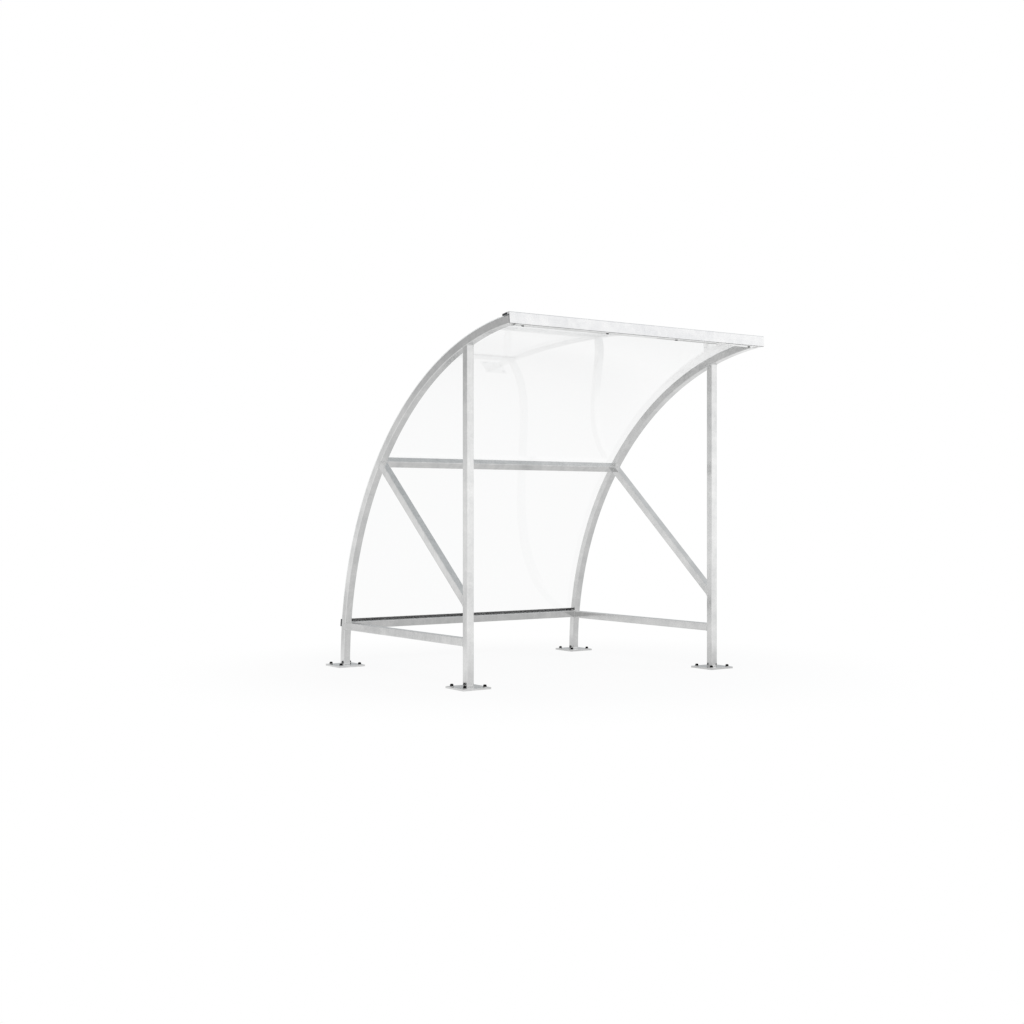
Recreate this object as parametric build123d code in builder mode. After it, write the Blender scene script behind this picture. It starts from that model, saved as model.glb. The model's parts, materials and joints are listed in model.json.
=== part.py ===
from build123d import *
from math import asin, cos, degrees, radians, sin, sqrt
import os

# Bike shelter: two quarter-round end frames of square tube, joined by three rails
# and roofed by one clear sheet that is clamped along its two straight edges.
# X runs across the shelter, Y from front to back and Z up, in millimetres.

# Overall sizes
shelter_width = 2050
rib_bend_radius = 2180
rib_sweep_angle = 85.8
leg_spacing = 1555

# Square tube of the frame
tube_side = 50
tube_wall = 3
tube_corner_radius = 4

# Base plates and their anchor holes
plate_side = 200
plate_thickness = 12
plate_edge_radius = 1.5
anchor_spacing = 145
anchor_hole_diameter = 14

# Rails and braces
side_rail_height = 255
middle_rail_angle = 39.6
lower_rail_setback = 5
brace_foot_height = 530
front_rail_setback = 6

# Clear sheet and the strips that clamp it
sheet_thickness = 4
sheet_foot_height = 260
strip_setback = 15
strip_width = 50
strip_thickness = 12
strip_edge_radius = 2

# Folded fascia along the front edge
fascia_leg = 68
fascia_flange = 47
fascia_thickness = 2.5
fascia_bend_radius = 2

# Plastic caps in the front ends of the ribs
cap_head = 5
cap_plug_length = 20
cap_plug_wall = 2.5

# Gap left where a piece seats on a curved face, and around a plug
fit_gap = 0.3

# Places that follow from the sizes above
tube_bore = tube_side - 2 * tube_wall
tube_corner_flat = tube_corner_radius * (2 - sqrt(2))
rib_outer_radius = rib_bend_radius + tube_side / 2
rib_inner_radius = rib_bend_radius - tube_side / 2
seat_radius = rib_inner_radius - fit_gap
frame_x = (shelter_width - tube_side) / 2
bay_half_width = shelter_width / 2 - tube_side
sheet_inner_radius = rib_outer_radius + fit_gap
sheet_outer_radius = sheet_inner_radius + sheet_thickness
strip_outer_radius = sheet_outer_radius + strip_thickness
fascia_top_radius = strip_outer_radius + fascia_thickness
fascia_bottom_radius = fascia_top_radius - fascia_leg
fascia_front = cap_head + fascia_thickness
tab_foot_radius = sheet_outer_radius + fit_gap
tab_reach = strip_setback - fit_gap

# The origin is on the ground, midway between the fascia's front and the rear plates' back
end_rise = sin(radians(rib_sweep_angle))
end_run = cos(radians(rib_sweep_angle))
front_reach = fascia_bottom_radius * end_run - fascia_front * end_rise
rear_reach = rib_bend_radius + plate_side / 2
arc_y = -(front_reach + rear_reach) / 2
arc_z = plate_thickness
leg_y = arc_y + rib_bend_radius
post_y = leg_y - leg_spacing
post_rear_y = post_y + tube_side / 2
arc_axis = Axis((0, arc_y, arc_z), (1, 0, 0))
foot_angle = degrees(asin((sheet_foot_height - arc_z) / sheet_inner_radius))
lower_rail_angle = foot_angle + degrees((lower_rail_setback + tube_side / 2) / rib_outer_radius)
strip_angle = degrees(strip_width / sheet_outer_radius)
setback_angle = degrees(strip_setback / sheet_outer_radius)


def arc_point(radius, angle):
    """Point in the YZ plane at a radius and an angle of the ribs' arc."""
    turn = radians(angle)
    return (0, arc_y + radius * cos(turn), arc_z + radius * sin(turn))


def arc_plane(angle):
    """Plane across the arc: X along the shelter, Y outwards, normal towards the front end."""
    turn = radians(angle)
    return Plane(arc_point(rib_bend_radius, angle), x_dir=(1, 0, 0), z_dir=(0, -sin(turn), cos(turn)))


def rail_plane(centre, tilt):
    """Section plane of a rail along X, its square turned by a tilt about X."""
    turn = radians(tilt)
    return Plane(centre, x_dir=(0, cos(turn), sin(turn)), z_dir=(1, 0, 0))


def tube_section():
    """Hollow square of the frame's tube, drawn in the open sketch."""
    RectangleRounded(tube_side, tube_side, tube_corner_radius)
    Rectangle(tube_bore, tube_bore, mode=Mode.SUBTRACT)


def cope_to_rib():
    """Trim the open part to the hollow side of the ribs' arc."""
    with Locations((0, arc_y, arc_z)):
        Cylinder(seat_radius, 2 * shelter_width, rotation=(0, 90, 0), mode=Mode.INTERSECT)


def save(piece, name):
    """Label a finished piece and write it as its own file."""
    piece.part.label = name
    export_step(piece.part, "parts/" + name + ".step")


os.makedirs("parts", exist_ok=True)

# End frames, one at each side
for side, sign in (("left", -1), ("right", 1)):
    tube_x = sign * frame_x

    # Rib bent to a quarter circle, from its foot to its front end
    with BuildPart() as rib:
        with BuildSketch(arc_plane(0)):
            with Locations((tube_x, 0)):
                Rectangle(tube_side, tube_side)
                chamfer(vertices(), tube_corner_flat)
                Rectangle(tube_bore, tube_bore, mode=Mode.SUBTRACT)
        revolve(axis=arc_axis, revolution_arc=rib_sweep_angle)
    save(rib, side + "_rib")

    # Front post, coped to the underside of the rib
    with BuildPart() as front_post:
        with BuildSketch(Plane.XY.offset(plate_thickness)):
            with Locations((tube_x, post_y)):
                tube_section()
        extrude(amount=rib_outer_radius)
        cope_to_rib()
    save(front_post, side + "_front_post")

    # Low side rail from the post to the rib
    rail_centre_z = side_rail_height + tube_side / 2
    with BuildPart() as side_rail:
        with BuildSketch(Plane((tube_x, post_rear_y, rail_centre_z), x_dir=(1, 0, 0), z_dir=(0, 1, 0))):
            tube_section()
        extrude(amount=leg_spacing)
        cope_to_rib()
    save(side_rail, side + "_side_rail")

    # Brace from the post up to the rib where the middle rail meets it
    brace_foot = Vector(tube_x, post_rear_y, brace_foot_height)
    brace_head = Vector(tube_x, 0, 0) + Vector(*arc_point(rib_bend_radius, middle_rail_angle))
    brace_run = (brace_head - brace_foot).normalized()
    brace_start = brace_foot - brace_run * tube_side
    with BuildPart() as brace:
        with BuildSketch(Plane(brace_start, x_dir=(1, 0, 0), z_dir=brace_run)):
            tube_section()
        extrude(amount=(brace_head - brace_start).length)
        cope_to_rib()
        split(bisect_by=Plane((0, post_rear_y, 0), z_dir=(0, 1, 0)), keep=Keep.TOP)
    save(brace, side + "_brace")

    # Cap pressed into the front end of the rib
    with BuildPart() as rib_cap:
        with BuildSketch(arc_plane(rib_sweep_angle)):
            with Locations((tube_x, 0)):
                RectangleRounded(tube_side, tube_side, tube_corner_radius)
        extrude(amount=cap_head)
        with BuildSketch(arc_plane(rib_sweep_angle)):
            with Locations((tube_x, 0)):
                Rectangle(tube_bore - 2 * fit_gap, tube_bore - 2 * fit_gap)
                plug_hollow = tube_bore - 2 * (fit_gap + cap_plug_wall)
                Rectangle(plug_hollow, plug_hollow, mode=Mode.SUBTRACT)
        extrude(amount=-cap_plug_length)
    save(rib_cap, side + "_rib_cap")

    # Base plates under the post and under the rib
    for row, plate_y in (("front", post_y), ("rear", leg_y)):
        with BuildPart() as base_plate:
            with BuildSketch(Plane((tube_x, plate_y, 0))):
                Rectangle(plate_side, plate_side)
                with GridLocations(anchor_spacing, anchor_spacing, 2, 2):
                    Circle(anchor_hole_diameter / 2, mode=Mode.SUBTRACT)
            extrude(amount=plate_thickness)
            plate_top = base_plate.faces().sort_by(Axis.Z)[-1]
            fillet(plate_top.outer_wire().edges(), plate_edge_radius)
        save(base_plate, row + "_" + side + "_base_plate")

# Middle rail, turned to lie along the curve of the sheet
with BuildPart() as middle_rail:
    with BuildSketch(rail_plane(arc_point(rib_bend_radius, middle_rail_angle), middle_rail_angle)):
        tube_section()
    extrude(amount=bay_half_width, both=True)
save(middle_rail, "middle_rail")

# Lower back rail, turned along the curve too, close above the sheet's lower edge
with BuildPart() as lower_back_rail:
    with BuildSketch(rail_plane(arc_point(rib_bend_radius, lower_rail_angle), lower_rail_angle)):
        tube_section()
    extrude(amount=bay_half_width, both=True)
save(lower_back_rail, "lower_back_rail")

# Front rail under the sheet, close behind the front ends of the ribs
front_rail_front = arc_point(rib_inner_radius, rib_sweep_angle)[1] + front_rail_setback
front_rail_rear = front_rail_front + tube_side
front_rail_top = arc_z + sqrt(rib_outer_radius**2 - (front_rail_rear - arc_y) ** 2)
front_rail_centre = (0, front_rail_rear - tube_side / 2, front_rail_top - tube_side / 2)
with BuildPart() as front_rail:
    with BuildSketch(rail_plane(front_rail_centre, 0)):
        tube_section()
    extrude(amount=bay_half_width, both=True)
save(front_rail, "front_rail")

# Clear sheet, bent over the ribs from the lower rail to their front ends
with BuildPart() as clear_sheet:
    with BuildSketch(arc_plane(foot_angle)):
        with Locations((0, sheet_inner_radius + sheet_thickness / 2 - rib_bend_radius)):
            Rectangle(shelter_width, sheet_thickness)
    revolve(axis=arc_axis, revolution_arc=rib_sweep_angle - foot_angle)
save(clear_sheet, "clear_sheet")

# Strips that clamp the sheet, each a little in from its edge
for name, start_angle in (
    ("lower_clamp_strip", foot_angle + setback_angle),
    ("upper_clamp_strip", rib_sweep_angle - setback_angle - strip_angle),
):
    with BuildPart() as clamp_strip:
        with BuildSketch(arc_plane(start_angle)):
            with Locations((0, sheet_outer_radius + strip_thickness / 2 - rib_bend_radius)):
                Rectangle(shelter_width, strip_thickness)
        revolve(axis=arc_axis, revolution_arc=strip_angle)
        outer_face = clamp_strip.faces().filter_by(GeomType.CYLINDER).sort_by(SortBy.AREA)[-1]
        fillet(outer_face.edges().filter_by(Axis.X), strip_edge_radius)
    save(clamp_strip, name)

# Fascia folded from flat: flange over the upper strip, leg down the ribs' ends, a tab closing each end
fascia_plane = Plane(arc_point(0, 0), x_dir=(0, -end_rise, end_run), z_dir=(-1, 0, 0))
with BuildPart() as fascia:
    with BuildSketch(fascia_plane) as fascia_section:
        with BuildLine():
            Polyline(
                (fascia_front, fascia_bottom_radius),
                (fascia_front, fascia_top_radius),
                (fascia_front - fascia_flange, fascia_top_radius),
                (fascia_front - fascia_flange, strip_outer_radius),
                (cap_head, strip_outer_radius),
                (cap_head, fascia_bottom_radius),
                close=True,
            )
        make_face()
        for corner, radius in (
            ((fascia_front, fascia_top_radius), fascia_bend_radius + fascia_thickness),
            ((cap_head, strip_outer_radius), fascia_bend_radius),
        ):
            fillet(fascia_section.vertices().sort_by_distance(corner)[0], radius)
    extrude(amount=shelter_width / 2, both=True)
    for end in (-1, 1):
        with BuildSketch(fascia_plane.offset(end * shelter_width / 2)):
            with BuildLine():
                Polyline(
                    (cap_head, tab_foot_radius),
                    (cap_head, strip_outer_radius),
                    (-tab_reach, strip_outer_radius),
                    (-tab_reach, tab_foot_radius),
                    close=True,
                )
            make_face()
        extrude(amount=-end * fascia_thickness)
save(fascia, "fascia")
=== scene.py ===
import json
from math import cos, radians, sin, sqrt

import bmesh
import bpy
from mathutils import Matrix, Vector


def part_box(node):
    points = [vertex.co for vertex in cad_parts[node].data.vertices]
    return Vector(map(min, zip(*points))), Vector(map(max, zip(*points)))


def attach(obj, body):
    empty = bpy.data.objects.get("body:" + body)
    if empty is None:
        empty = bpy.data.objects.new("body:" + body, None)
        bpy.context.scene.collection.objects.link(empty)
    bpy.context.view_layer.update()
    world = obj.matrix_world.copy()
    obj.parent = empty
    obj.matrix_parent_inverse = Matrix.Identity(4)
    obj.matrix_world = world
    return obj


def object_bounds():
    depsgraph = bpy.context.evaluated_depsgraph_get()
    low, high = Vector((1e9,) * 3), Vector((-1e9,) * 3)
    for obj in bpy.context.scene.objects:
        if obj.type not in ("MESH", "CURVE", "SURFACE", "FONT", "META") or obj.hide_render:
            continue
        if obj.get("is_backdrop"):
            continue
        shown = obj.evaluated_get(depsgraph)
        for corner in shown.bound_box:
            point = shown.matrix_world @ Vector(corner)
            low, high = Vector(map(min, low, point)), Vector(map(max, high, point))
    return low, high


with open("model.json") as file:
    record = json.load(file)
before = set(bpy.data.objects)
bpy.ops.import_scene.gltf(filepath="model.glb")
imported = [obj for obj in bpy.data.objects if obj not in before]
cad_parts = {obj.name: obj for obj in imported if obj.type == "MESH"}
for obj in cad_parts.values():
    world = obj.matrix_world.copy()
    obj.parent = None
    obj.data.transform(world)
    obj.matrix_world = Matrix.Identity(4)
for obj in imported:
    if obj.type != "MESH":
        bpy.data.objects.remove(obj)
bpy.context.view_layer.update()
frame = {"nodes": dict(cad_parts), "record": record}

# Bike shelter in metres and degrees: X across, Y from the open front to the back, Z up.

# Places of the frame, as in the CAD
TUBE = 0.050
PLATE_TOP = 0.012
ANCHOR_SPACING = 0.145
ARC_CENTRE = Vector((0.0, -1.21520, 0.012))
RIB_RADIUS = 2.180
RIB_INNER_X = 0.975
RIB_END_ANGLE = 85.8
SEAT_RADIUS = 2.1547
STRIP_OUTER_RADIUS = 2.2213
FASCIA_TOP_RADIUS = 2.2238
MIDDLE_RAIL_ANGLE = 39.6
LOWER_RAIL_ANGLE = 7.236
BRACE_FOOT_HEIGHT = 0.530

# Ground anchors
WASHER_RADIUS = 0.0118
WASHER_THICKNESS = 0.0018
COVER_RADIUS = 0.0106
COVER_SIDE = 0.0070
COVER_CROWN = 0.0062

# Bolts and screws that clamp the sheet, in the same four places along both its edges
CLAMP_PLACES = (-0.9135, -0.279, 0.279, 0.9135)
CLAMP_LINE_Y = -1.0362
CLAMP_HEAD_RADIUS = 0.0088
CLAMP_HEAD_HEIGHT = 0.0045
RIVET_RADIUS = 0.0080
RIVET_HEIGHT = 0.0009
LOWER_SCREW_RISE = 0.017

# Weld beads
BEAD = 0.0030
BEAD_CORNER = 0.005
RIPPLE_LENGTH = 0.008
RIPPLE_HEIGHT = 0.0010

# Dark and pale tones of the finishes
ZINC = ((0.635, 0.640, 0.640), (0.790, 0.790, 0.785))
BRIGHT_ZINC = ((0.790, 0.795, 0.810), (0.930, 0.930, 0.930))
PLASTIC = ((0.016, 0.016, 0.017), (0.030, 0.030, 0.031))


# ---------------------------------------------------------------- node wires


class Wire:
    """One output socket of a node tree. Arithmetic on wires adds Math nodes."""

    def __init__(self, tree, socket=None):
        self.tree = tree
        self.socket = socket

    def node(self, kind, settings=None, sockets=None, output=0):
        """Add a node, set it up, feed its sockets and give back one of its outputs."""
        made = self.tree.nodes.new("ShaderNode" + kind)
        for name, value in (settings or {}).items():
            if name == "stops":
                ramp = made.color_ramp.elements
                while len(ramp) < len(value):
                    ramp.new(0.5)
                for stop, (place, colour) in zip(ramp, value):
                    stop.position = place
                    stop.color = colour
            else:
                setattr(made, name, value)
        for key, value in (sockets or {}).items():
            if isinstance(value, Wire):
                self.tree.links.new(value.socket, made.inputs[key])
            else:
                made.inputs[key].default_value = value
        return Wire(self.tree, made.outputs[output] if made.outputs else None)

    def maths(self, operation, first, second=0.0):
        """One Math node on wires or numbers."""
        return self.node("Math", {"operation": operation}, {0: first, 1: second})

    def __add__(self, other):
        return self.maths("ADD", self, other)

    def __radd__(self, other):
        return self.maths("ADD", other, self)

    def __sub__(self, other):
        return self.maths("SUBTRACT", self, other)

    def __rsub__(self, other):
        return self.maths("SUBTRACT", other, self)

    def __mul__(self, other):
        return self.maths("MULTIPLY", self, other)

    def __rmul__(self, other):
        return self.maths("MULTIPLY", other, self)

    def __gt__(self, other):
        return self.maths("GREATER_THAN", self, other)


def new_finish(name):
    """A material with an empty node tree, and a wire to start from."""
    finish = bpy.data.materials.new(name)
    finish.use_nodes = True
    finish.node_tree.nodes.clear()
    return finish, Wire(finish.node_tree)


def surface(start, shader):
    """Join a shader to the material's output."""
    start.node("OutputMaterial", None, {"Surface": shader})


def stretched(start, scale):
    """Object coordinates, scaled for a pattern."""
    place = start.node("TexCoord", output="Object")
    return start.node("Mapping", None, {"Vector": place, "Scale": scale})


def noise(start, place, scale, detail, roughness=0.5):
    """Soft random pattern."""
    sockets = {"Vector": place, "Scale": scale, "Detail": detail, "Roughness": roughness}
    return start.node("TexNoise", None, sockets)


def mottled(start, value, span, tones, shade=1.0):
    """Colour that goes from a dark to a pale tone while a value crosses a span."""
    stops = [(place, (*(part * shade for part in tone), 1)) for place, tone in zip(span, tones)]
    return start.node("ValToRGB", {"stops": stops}, {"Fac": value})


# ---------------------------------------------------------------- finishes


def galvanised_steel(name="galvanised_steel", dull=0.0, shade=1.0):
    """Hot-dip zinc: soft cloudy patches, faint runs down the tube and small flat crystals."""
    finish, start = new_finish(name)
    place = start.node("TexCoord", output="Object")
    cloud = noise(start, place, scale=13.0, detail=3.0, roughness=0.55)
    patch = noise(start, place, scale=4.5, detail=1.0)
    runs = noise(start, stretched(start, (48.0, 48.0, 4.0)), scale=1.0, detail=2.0)
    cells = {"Vector": place, "Scale": 85.0}
    crystal = start.node("TexVoronoi", {"voronoi_dimensions": "3D"}, cells, "Color")
    crystal = start.node("SeparateColor", None, {"Color": crystal}, "Red")
    tone = 0.50 * cloud + 0.25 * patch + 0.17 * runs + 0.08 * crystal
    colour = mottled(start, tone, (0.34, 0.66), ZINC, shade)
    rough = 0.10 + dull + 0.06 * cloud + 0.03 * crystal
    height = 0.7 * cloud + 0.3 * runs
    relief = start.node("Bump", None, {"Strength": 0.10, "Distance": 0.0015, "Height": height})
    shader = start.node(
        "BsdfPrincipled",
        None,
        {"Base Color": colour, "Metallic": 1.0, "Roughness": rough, "Normal": relief},
    )
    surface(start, shader)
    return finish


def fascia_steel():
    """Bright zinc-coated sheet: pale, with soft mottling and fine rolling lines along its length."""
    finish, start = new_finish("fascia_steel")
    place = start.node("TexCoord", output="Object")
    lines = noise(start, stretched(start, (2.0, 500.0, 500.0)), scale=1.0, detail=2.0)
    cloud = noise(start, place, scale=14.0, detail=4.0, roughness=0.6)
    patch = noise(start, place, scale=5.0, detail=1.0)
    tone = 0.60 * cloud + 0.30 * patch + 0.10 * lines
    colour = mottled(start, tone, (0.35, 0.65), BRIGHT_ZINC)
    rough = 0.20 + 0.12 * cloud
    height = 0.8 * cloud + 0.2 * lines
    relief = start.node("Bump", None, {"Strength": 0.08, "Distance": 0.0010, "Height": height})
    shader = start.node(
        "BsdfPrincipled",
        None,
        {"Base Color": colour, "Metallic": 1.0, "Roughness": rough, "Normal": relief},
    )
    surface(start, shader)
    return finish


def clear_sheet():
    """Clear plastic sheet: seen through on its faces, faintly milky on its side edges."""
    finish, start = new_finish("clear_sheet")
    facing = start.node("NewGeometry", output="True Normal")
    across = start.node("SeparateXYZ", None, {"Vector": facing}, "X")
    side_edge = start.maths("ABSOLUTE", across) > 0.9
    slant = start.node("LayerWeight", None, {"Blend": 0.5}, "Facing")
    gloss = 0.045 + 0.72 * start.maths("POWER", slant, 4.0)
    clear = start.node("BsdfTransparent", None, {"Color": (0.995, 0.996, 0.996, 1)})
    mirror = start.node("BsdfGlossy", None, {"Color": (1.0, 1.0, 1.0, 1), "Roughness": 0.03})
    pane = start.node("MixShader", None, {0: gloss, 1: clear, 2: mirror})
    edge_look = {"Base Color": (0.72, 0.78, 0.78, 1), "Roughness": 0.35}
    edge = start.node("BsdfPrincipled", None, edge_look)
    shader = start.node("MixShader", None, {0: side_edge * 0.25, 1: pane, 2: edge})
    surface(start, shader)
    return finish


def black_plastic(name="black_plastic", shade=1.0, sheen=0.35):
    """Matt moulded plastic with a fine grain."""
    finish, start = new_finish(name)
    place = start.node("TexCoord", output="Object")
    grain = noise(start, place, scale=900.0, detail=2.0)
    cloud = noise(start, place, scale=14.0, detail=2.0)
    colour = mottled(start, 0.4 * grain + 0.6 * cloud, (0.35, 0.70), PLASTIC, shade)
    rough = 0.40 + 0.18 * grain
    relief = start.node("Bump", None, {"Strength": 0.15, "Distance": 0.0004, "Height": grain})
    shader = start.node(
        "BsdfPrincipled",
        None,
        {"Base Color": colour, "Roughness": rough, "Normal": relief, "Specular IOR Level": sheen},
    )
    surface(start, shader)
    return finish


steel = galvanised_steel()
# A darker copy of the zinc: painted shade on the lower back rail
painted_shade_steel = galvanised_steel("galvanised_steel_painted_shade", shade=0.87)
# A paler copy of the zinc: painted light on the front rail
painted_light_steel = galvanised_steel("galvanised_steel_painted_light", shade=1.18)
weld_zinc = galvanised_steel("weld_zinc", dull=0.22)
bright_steel = fascia_steel()
clear = clear_sheet()
black = black_plastic()
# A darker copy of the black plastic, with less sheen: painted shade on the anchor covers, the clamp
# buttons and the rib caps
painted_shade_black = black_plastic("black_plastic_painted_shade", shade=0.45, sheen=0.05)

SLOT_FINISHES = {
    "galvanised_steel": steel,
    "fascia_steel": bright_steel,
    "clear_sheet": clear,
    "black_plastic": black,
}
for subpart in frame["record"]["subparts"]:
    node = frame["nodes"][subpart["node"]]
    node.data.materials.clear()
    node.data.materials.append(SLOT_FINISHES[subpart["material_slot"]])

# Painted shade and painted light: a darker zinc on the lower back rail, a paler zinc on the front
# rail and a darker black on the rib caps stand in for the shade and light on them
for name, finish in (
    ("lower_back_rail", painted_shade_steel),
    ("front_rail", painted_light_steel),
    ("left_rib_cap", painted_shade_black),
    ("right_rib_cap", painted_shade_black),
):
    frame["nodes"][name].data.materials[0] = finish


# ---------------------------------------------------------------- modelling


def new_mesh(adder, **settings):
    """Add a primitive with nothing else selected, and open it in edit mode."""
    bpy.ops.object.select_all(action="DESELECT")
    adder(**settings)
    piece = bpy.context.object
    bpy.ops.object.mode_set(mode="EDIT")
    bpy.ops.mesh.select_all(action="SELECT")
    return piece


def new_disc(vertices, radius):
    """Flat disc round the Z axis, open in edit mode."""
    adder = bpy.ops.mesh.primitive_circle_add
    return new_mesh(adder, vertices=vertices, radius=radius, fill_type="NGON")


def push(height, scale=1.0):
    """Extrude the selected face upwards and scale its new outline about the axis."""
    bpy.ops.mesh.extrude_region_move(TRANSFORM_OT_translate={"value": (0, 0, height)})
    if scale != 1.0:
        bpy.ops.transform.resize(value=(scale, scale, 1), center_override=(0, 0, 0))


def close_piece(piece, angle=35.0):
    """Leave edit mode with the faces outward and the soft edges smooth."""
    bpy.ops.mesh.select_all(action="SELECT")
    bpy.ops.mesh.remove_doubles(threshold=0.00001)
    bpy.ops.mesh.normals_make_consistent(inside=False)
    bpy.ops.object.mode_set(mode="OBJECT")
    bpy.ops.object.shade_smooth_by_angle(angle=radians(angle))
    return piece


def domed_cover(radius, side_height, crown_height):
    """Plastic cover over an anchor's nut: a round side on a thin lip and a full crown, axis up."""
    lip_flare, lip_height = 1.04, 0.0008
    crown_rings, fullness, tip = 6, 0.6, 0.004
    piece = new_disc(24, radius * lip_flare)
    push(lip_height)
    push(side_height, 1 / lip_flare)
    rise, reach = 0.0, radius
    for ring in range(1, crown_rings + 1):
        turn = radians(90.0 * ring / crown_rings)
        next_rise = crown_height * sin(turn)
        next_reach = radius * max(cos(turn), tip) ** fullness
        push(next_rise - rise, next_reach / reach)
        rise, reach = next_rise, next_reach
    bpy.ops.mesh.merge(type="CENTER")
    return close_piece(piece)


def round_head(vertices, radius, height, rings):
    """Round head, axis up, raised ring by ring: each ring's rise, in heights, and its scale."""
    piece = new_disc(vertices, radius)
    for rise, scale in rings:
        push(height * rise, scale)
    return close_piece(piece)


def flat_washer(radius, thickness):
    """Round washer with a softened upper rim."""
    return round_head(32, radius, thickness, ((0.75, 1.0), (0.25, 0.96)))


def flat_rivet(radius, height):
    """Thin round head with a softened rim."""
    rings = ((0.40, 1.0), (0.35, 0.95), (0.18, 0.86), (0.07, 0.60))
    return round_head(28, radius, height, rings)


def socket_screw(radius, height):
    """Low round screw head with a socket sunk in its top."""
    head = ((0.25, 1.0), (0.35, 0.93), (0.28, 0.86), (0.12, 0.80))
    socket = ((0.0, 0.62), (-0.55, 0.92))
    return round_head(24, radius, height, head + socket)


def dress(piece, name, finish):
    """Name a finished piece, give it its finish and fix it to the shelter."""
    piece.name = name
    piece.data.name = name
    piece.data.materials.clear()
    piece.data.materials.append(finish)
    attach(piece, "root")


def place_copy(master, name, turn_and_place, finish):
    """Copy a master with its own mesh, put in place in its vertices, on the shelter."""
    piece = master.copy()
    piece.data = master.data.copy()
    piece.data.transform(turn_and_place)
    bpy.context.collection.objects.link(piece)
    dress(piece, name, finish)


def drop_master(master):
    """Remove a master once its copies are made."""
    mesh = master.data
    bpy.data.objects.remove(master)
    bpy.data.meshes.remove(mesh)


def arc_point(x, radius, angle):
    """Point at a radius and an angle of the ribs' arc."""
    turn = radians(angle)
    return ARC_CENTRE + Vector((x, radius * cos(turn), radius * sin(turn)))


# Zinc washers and black covers on the sixteen ground anchors
anchor_washer = flat_washer(WASHER_RADIUS, WASHER_THICKNESS)
anchor_cover = domed_cover(COVER_RADIUS, COVER_SIDE, COVER_CROWN)
for row in ("front", "rear"):
    for side in ("left", "right"):
        low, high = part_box(f"{row}_{side}_base_plate")
        middle = (Vector(low) + Vector(high)) / 2
        for number, (dx, dy) in enumerate(((-1, -1), (1, -1), (-1, 1), (1, 1)), 1):
            x = middle.x + dx * ANCHOR_SPACING / 2
            y = middle.y + dy * ANCHOR_SPACING / 2
            seat = Vector((x, y, PLATE_TOP))
            place_copy(
                anchor_washer,
                f"anchor_washer_{row}_{side}_{number}",
                Matrix.Translation(seat),
                steel,
            )
            place_copy(
                anchor_cover,
                f"anchor_cover_{row}_{side}_{number}",
                Matrix.Translation(seat + Vector((0.0, 0.0, WASHER_THICKNESS))),
                painted_shade_black,
            )
drop_master(anchor_washer)
drop_master(anchor_cover)

# Button heads under the front rail, on the bolts that clamp the sheet's front edge
low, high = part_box("front_rail")
downward = Matrix.Rotation(radians(180), 4, "X")
button = socket_screw(CLAMP_HEAD_RADIUS, CLAMP_HEAD_HEIGHT)
for number, x in enumerate(CLAMP_PLACES, 1):
    seat = Matrix.Translation((x, CLAMP_LINE_Y, low[2]))
    place_copy(button, f"front_clamp_button_{number}", seat @ downward, painted_shade_black)
drop_master(button)

# Flat rivet heads where those bolts come up through the fascia's flange
flange_turn = radians(RIB_END_ANGLE)
flange_back = CLAMP_LINE_Y - ARC_CENTRE.y - FASCIA_TOP_RADIUS * cos(flange_turn)
flange_back = flange_back / sin(flange_turn)
upward = Matrix.Rotation(flange_turn - radians(90), 4, "X")
rivet = flat_rivet(RIVET_RADIUS, RIVET_HEIGHT)
for number, x in enumerate(CLAMP_PLACES, 1):
    spot = arc_point(x, FASCIA_TOP_RADIUS, RIB_END_ANGLE)
    spot += Vector((0.0, sin(flange_turn), -cos(flange_turn))) * flange_back
    seat = Matrix.Translation(spot)
    place_copy(rivet, f"fascia_rivet_{number}", seat @ upward, bright_steel)
drop_master(rivet)

# Screws through the lower strip into the lower rail
low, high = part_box("lower_clamp_strip")
screw_turn = (low[2] + LOWER_SCREW_RISE - ARC_CENTRE.z) / STRIP_OUTER_RADIUS
outward = Matrix.Rotation(screw_turn - radians(90), 4, "X")
screw = socket_screw(CLAMP_HEAD_RADIUS, CLAMP_HEAD_HEIGHT)
for number, x in enumerate(CLAMP_PLACES, 1):
    spot = Vector((x, STRIP_OUTER_RADIUS * cos(screw_turn), STRIP_OUTER_RADIUS * sin(screw_turn)))
    seat = Matrix.Translation(ARC_CENTRE + spot)
    place_copy(screw, f"lower_clamp_screw_{number}", seat @ outward, black)
drop_master(screw)


def weld_bead(name, corners):
    """A bead along the closed outline of a joint, rippled a little."""
    piece = new_mesh(bpy.ops.mesh.primitive_plane_add, size=TUBE)
    outline = bmesh.from_edit_mesh(piece.data)
    around = [loop.vert for loop in outline.faces[:][0].loops]
    for vert, corner in zip(around, corners):
        vert.co = corner
    bmesh.update_edit_mesh(piece.data)
    bpy.ops.mesh.bevel(offset=BEAD_CORNER, segments=3, affect="VERTICES")
    bpy.ops.mesh.select_all(action="SELECT")
    bpy.ops.mesh.delete(type="ONLY_FACE")
    bpy.ops.mesh.select_all(action="SELECT")
    bpy.ops.mesh.subdivide(number_cuts=2)
    bpy.ops.object.mode_set(mode="OBJECT")
    bpy.ops.object.convert(target="CURVE")
    piece = bpy.context.object
    piece.data.bevel_depth = BEAD
    piece.data.bevel_resolution = 2
    bpy.ops.object.convert(target="MESH")
    piece = bpy.context.object
    ripple = bpy.data.textures.new(name + "_ripple", "CLOUDS")
    ripple.noise_scale = RIPPLE_LENGTH
    wave = piece.modifiers.new("ripple", "DISPLACE")
    wave.texture = ripple
    wave.strength = RIPPLE_HEIGHT
    bpy.ops.object.modifier_apply(modifier="ripple")
    bpy.ops.object.mode_set(mode="EDIT")
    close_piece(piece, 60.0)
    dress(piece, name, weld_zinc)


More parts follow.
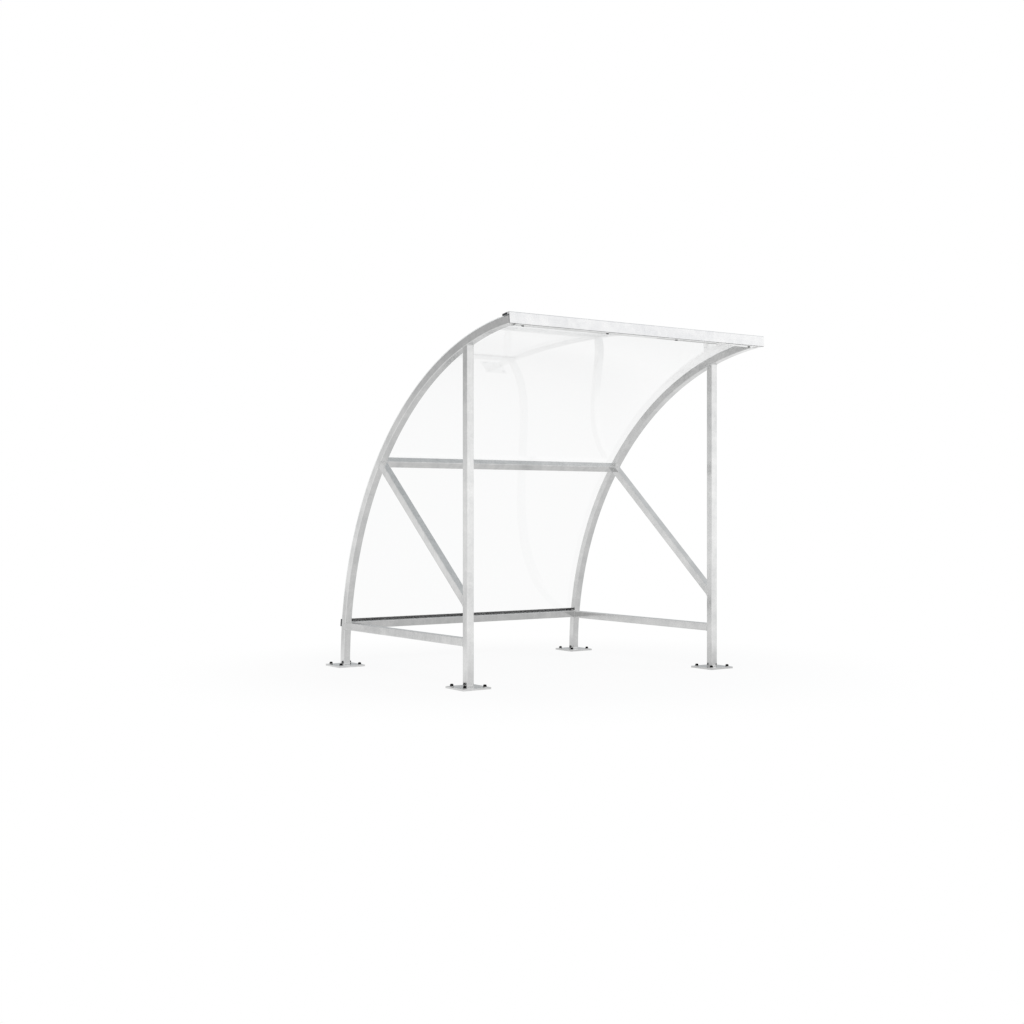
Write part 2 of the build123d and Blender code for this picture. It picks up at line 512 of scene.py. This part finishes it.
def seat_z(y):
    """Height at which an upright meets the ribs' hollow side."""
    return ARC_CENTRE.z + sqrt(SEAT_RADIUS**2 - (y - ARC_CENTRE.y) ** 2)


def seat_y(z):
    """Depth at which a level rail meets the ribs' hollow side."""
    return ARC_CENTRE.y + sqrt(SEAT_RADIUS**2 - (z - ARC_CENTRE.z) ** 2)


def along_to_seat(point, run):
    """Follow a run in the YZ plane from a point to the ribs' hollow side."""
    offset = point - ARC_CENTRE
    offset.x = 0.0
    half = offset.dot(run)
    reach = -half + sqrt(half**2 - offset.length_squared + SEAT_RADIUS**2)
    return point + run * reach


def joint_across(x0, x1, near, far):
    """Corners of a joint as wide as the tube, between two lines along X given by their Y and Z."""
    return [(x0, *near), (x1, *near), (x1, *far), (x0, *far)]


# Beads round the joints of both end frames and the ends of the rails between them
half = TUBE / 2
for side, sign in (("left", -1), ("right", 1)):
    low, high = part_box(f"{side}_front_post")
    x0, x1, y0, y1 = low[0], high[0], low[1], high[1]
    post_rear = y1
    foot_joint = joint_across(x0, x1, (y0, PLATE_TOP), (y1, PLATE_TOP))
    weld_bead(f"{side}_post_foot_weld", foot_joint)
    head_joint = joint_across(x0, x1, (y0, seat_z(y0)), (y1, seat_z(y1)))
    weld_bead(f"{side}_post_head_weld", head_joint)

    rib_back = ARC_CENTRE.y + RIB_RADIUS + half
    foot_joint = joint_across(x0, x1, (rib_back - TUBE, PLATE_TOP), (rib_back, PLATE_TOP))
    weld_bead(f"{side}_rib_foot_weld", foot_joint)

    low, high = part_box(f"{side}_side_rail")
    z0, z1 = low[2], high[2]
    front_joint = joint_across(x0, x1, (post_rear, z0), (post_rear, z1))
    weld_bead(f"{side}_side_rail_front_weld", front_joint)
    rear_joint = joint_across(x0, x1, (seat_y(z0), z0), (seat_y(z1), z1))
    weld_bead(f"{side}_side_rail_rear_weld", rear_joint)

    foot = Vector((0.0, post_rear, BRACE_FOOT_HEIGHT))
    run = (arc_point(0.0, RIB_RADIUS, MIDDLE_RAIL_ANGLE) - foot).normalized()
    half_cut = half / run.y
    z0, z1 = BRACE_FOOT_HEIGHT - half_cut, BRACE_FOOT_HEIGHT + half_cut
    foot_joint = joint_across(x0, x1, (post_rear, z0), (post_rear, z1))
    weld_bead(f"{side}_brace_foot_weld", foot_joint)
    rise = Vector((0.0, -run.z, run.y)) * TUBE / 2
    under, over = along_to_seat(foot - rise, run), along_to_seat(foot + rise, run)
    head_joint = joint_across(x0, x1, (under.y, under.z), (over.y, over.z))
    weld_bead(f"{side}_brace_head_weld", head_joint)

    inner_x = sign * RIB_INNER_X
    for rail, angle in (("middle_rail", MIDDLE_RAIL_ANGLE), ("lower_back_rail", LOWER_RAIL_ANGLE)):
        turn = radians(angle)
        inward = Vector((0.0, cos(turn), sin(turn))) * -half
        outward = inward * -(1 - BEAD / half)
        onward = Vector((0.0, -sin(turn), cos(turn))) * half
        middle = arc_point(inner_x, RIB_RADIUS, angle)
        weld_bead(
            f"{side}_{rail}_weld",
            [
                middle + inward - onward,
                middle + outward - onward,
                middle + outward + onward,
                middle + inward + onward,
            ],
        )
    low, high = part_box("front_rail")
    y0, y1, z0, z1 = low[1], high[1] - BEAD, low[2], high[2] - BEAD
    rail_joint = [(inner_x, y0, z0), (inner_x, y1, z0), (inner_x, y1, z1), (inner_x, y0, z1)]
    weld_bead(f"{side}_front_rail_weld", rail_joint)


# ---------------------------------------------------------------- studio


def ray_kinds(start):
    """1 on what the camera sees, on what it sees through the sheet, and on what is mirrored."""
    seen = start.node("LightPath", output="Is Camera Ray")
    through = start.node("LightPath", output="Is Transmission Ray")
    mirrored = start.node("LightPath", output="Is Glossy Ray")
    return seen, through, mirrored


def floor_patch(start, centre, inner, outer):
    """1 on a round patch of the floor, fading to 0 at its outer radius."""
    place = start.node("TexCoord", output="Object")
    shift = (-centre[0], -centre[1], 0.0)
    place = start.node("Mapping", None, {"Vector": place, "Location": shift})
    away = start.node("VectorMath", {"operation": "LENGTH"}, {0: place}, "Value")
    fade = {0: away, 1: inner, 2: outer}
    return 1 - start.node("MapRange", {"interpolation_type": "SMOOTHSTEP"}, fade)


def studio_floor():
    """Pale floor: white where the camera looks, with the shelter's shadow kept under it, and painted
    shade in three round patches that only the metal mirrors.
    """
    finish, start = new_finish("studio_floor")
    seen, through, mirrored = ray_kinds(start)
    under = floor_patch(start, (0.0, 0.0), 1.2, 2.8)
    inside = floor_patch(start, (0.7, 0.1), 1.3, 2.5)
    behind = floor_patch(start, (-3.6, 6.2), 2.8, 6.2)
    beside = floor_patch(start, (3.6, 1.9), 1.0, 2.4)
    white = (seen + through) * (1 - 0.10 * under) + mirrored
    # Painted shade: the floor as the metal mirrors it is dimmed in three round patches, inside,
    # behind and beside the shelter
    level = 1 - mirrored * (0.27 * inside + 0.24 * behind + 0.12 * beside)
    base = start.node("BsdfDiffuse", None, {"Color": (0.80, 0.80, 0.80, 1)})
    glow = start.node("Emission", None, {"Color": level, "Strength": 1.0})
    share = start.maths("MINIMUM", white, 1.0)
    surface(start, start.node("MixShader", None, {0: share, 1: base, 2: glow}))
    bpy.ops.object.select_all(action="DESELECT")
    bpy.ops.mesh.primitive_plane_add(size=120.0, location=(0, 0, 0))
    floor = bpy.context.object
    floor.name = "studio_floor"
    floor.data.materials.append(finish)
    floor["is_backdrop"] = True


def studio_card(name, corners, axis, span, stops):
    """Soft shaded card outside the picture, which the metal mirrors, graded along one axis."""
    finish, start = new_finish(name)
    finish.cycles.emission_sampling = "NONE"
    place = start.node("TexCoord", output="Object")
    place = start.node("SeparateXYZ", None, {"Vector": place}, axis)
    along = start.node("MapRange", None, {0: place, 1: span[0], 2: span[1]})
    ramp = [((at - span[0]) / (span[1] - span[0]), (*colour, 1)) for at, colour in stops]
    shade = start.node("ValToRGB", {"stops": ramp}, {"Fac": along})
    surface(start, start.node("Emission", None, {"Color": shade, "Strength": 1.0}))
    bpy.ops.object.select_all(action="DESELECT")
    bpy.ops.mesh.primitive_plane_add(size=1.0)
    card = bpy.context.object
    in_plane_order = (corners[0], corners[1], corners[3], corners[2])
    for vert, corner in zip(card.data.vertices, in_plane_order):
        vert.co = corner
    card.name = name
    card.data.materials.append(finish)
    card.visible_camera = False
    card.visible_diffuse = False
    card.visible_transmission = False
    card.visible_shadow = False
    card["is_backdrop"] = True


def grey(level, cool=0.0):
    """A neutral level, or a slightly blue one."""
    return (level * (1 - cool), level, level * (1 + 0.6 * cool))


def soft_light(name, place, aim, size, power):
    """Large soft lamp."""
    lamp = bpy.data.lights.new(name, "AREA")
    lamp.shape = "RECTANGLE"
    lamp.size, lamp.size_y = size
    lamp.energy = power
    lamp_object = bpy.data.objects.new(name, lamp)
    lamp_object.location = place
    toward = Vector(aim) - Vector(place)
    lamp_object.rotation_euler = toward.to_track_quat("-Z", "Y").to_euler()
    lamp_object.visible_glossy = False
    bpy.context.collection.objects.link(lamp_object)


studio_floor()

# Levels of the cards by height, and of the top one from left to right
studio_card(
    "back_left_card",
    ((-24, -4, 0), (-4, 18, 0), (-4, 18, 11), (-24, -4, 11)),
    "Z",
    (0.0, 11.0),
    [
        (0.0, grey(0.95)),
        (1.07, grey(0.90)),
        (1.8, grey(0.86)),
        (2.5, grey(0.78)),
        (3.5, grey(0.56)),
        (5.0, grey(0.51)),
        (6.3, grey(0.51)),
        (7.5, grey(0.88)),
    ],
)
studio_card(
    "back_right_card",
    ((-4, 18, 0), (22, 16, 0), (22, 16, 11), (-4, 18, 11)),
    "Z",
    (0.0, 11.0),
    [
        (0.0, grey(0.85)),
        (1.0, grey(0.66, 0.02)),
        (2.2, grey(0.52, 0.03)),
        (5.0, grey(0.51, 0.03)),
    ],
)
studio_card(
    "top_card",
    ((-24, -16, 11), (22, -16, 11), (22, 18, 11), (-24, 18, 11)),
    "X",
    (-24.0, 22.0),
    [
        (-3.0, grey(0.90)),
        (4.0, grey(0.54, 0.04)),
        (4.8, grey(0.54, 0.04)),
        (8.8, grey(0.74, 0.02)),
    ],
)
studio_card(
    "front_card",
    ((-6, -14, 0), (10, -14, 0), (10, -14, 8), (-6, -14, 8)),
    "Z",
    (0.0, 8.0),
    [
        (0.0, grey(1.08)),
        (1.2, grey(1.16)),
        (2.0, grey(1.15)),
        (3.0, grey(1.06)),
        (6.0, grey(1.05)),
        (8.0, grey(0.93)),
    ],
)
studio_card(
    "front_right_card",
    ((10, -14, 0), (26, -14, 0), (26, -14, 8), (10, -14, 8)),
    "Z",
    (0.0, 8.0),
    [
        (0.0, grey(1.12)),
        (1.2, grey(1.21)),
        (2.0, grey(1.20)),
        (3.0, grey(1.10)),
        (6.0, grey(1.09)),
        (8.0, grey(0.97)),
    ],
)

soft_light("front_light", (-3.0, -9.0, 7.0), (0, 0, 0.8), (6.0, 4.0), 420.0)
soft_light("right_light", (8.0, -5.0, 5.0), (0, 0, 1.0), (5.0, 4.0), 260.0)

# White surroundings where they are seen or mirrored, and a soft grey light from all round
world = bpy.data.worlds.new("studio_world")
bpy.context.scene.world = world
world.use_nodes = True
world.node_tree.nodes.clear()
sky = Wire(world.node_tree)
seen, through, mirrored = ray_kinds(sky)
white = sky.maths("MINIMUM", seen + through + mirrored, 1.0)
tones = {0: white, 6: (0.62, 0.63, 0.65, 1), 7: (1, 1, 1, 1)}
tint = sky.node("Mix", {"data_type": "RGBA"}, tones, output=2)
backdrop = sky.node("Background", None, {"Color": tint, "Strength": 1.0})
sky.node("OutputWorld", None, {"Surface": backdrop})

# Camera at the photo's place: level, 35 degrees to the left of the front
camera = bpy.data.cameras.new("photo_camera")
camera.lens = 50.0
camera.sensor_width = 36.0
camera_object = bpy.data.objects.new("photo_camera", camera)
camera_object.location = (-5.7332, -7.7905, 1.0697)
camera_object.rotation_euler = (radians(90), 0, radians(-35.08))
bpy.context.collection.objects.link(camera_object)
bpy.context.scene.camera = camera_object

bpy.context.scene.view_settings.view_transform = "Standard"

low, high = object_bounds()
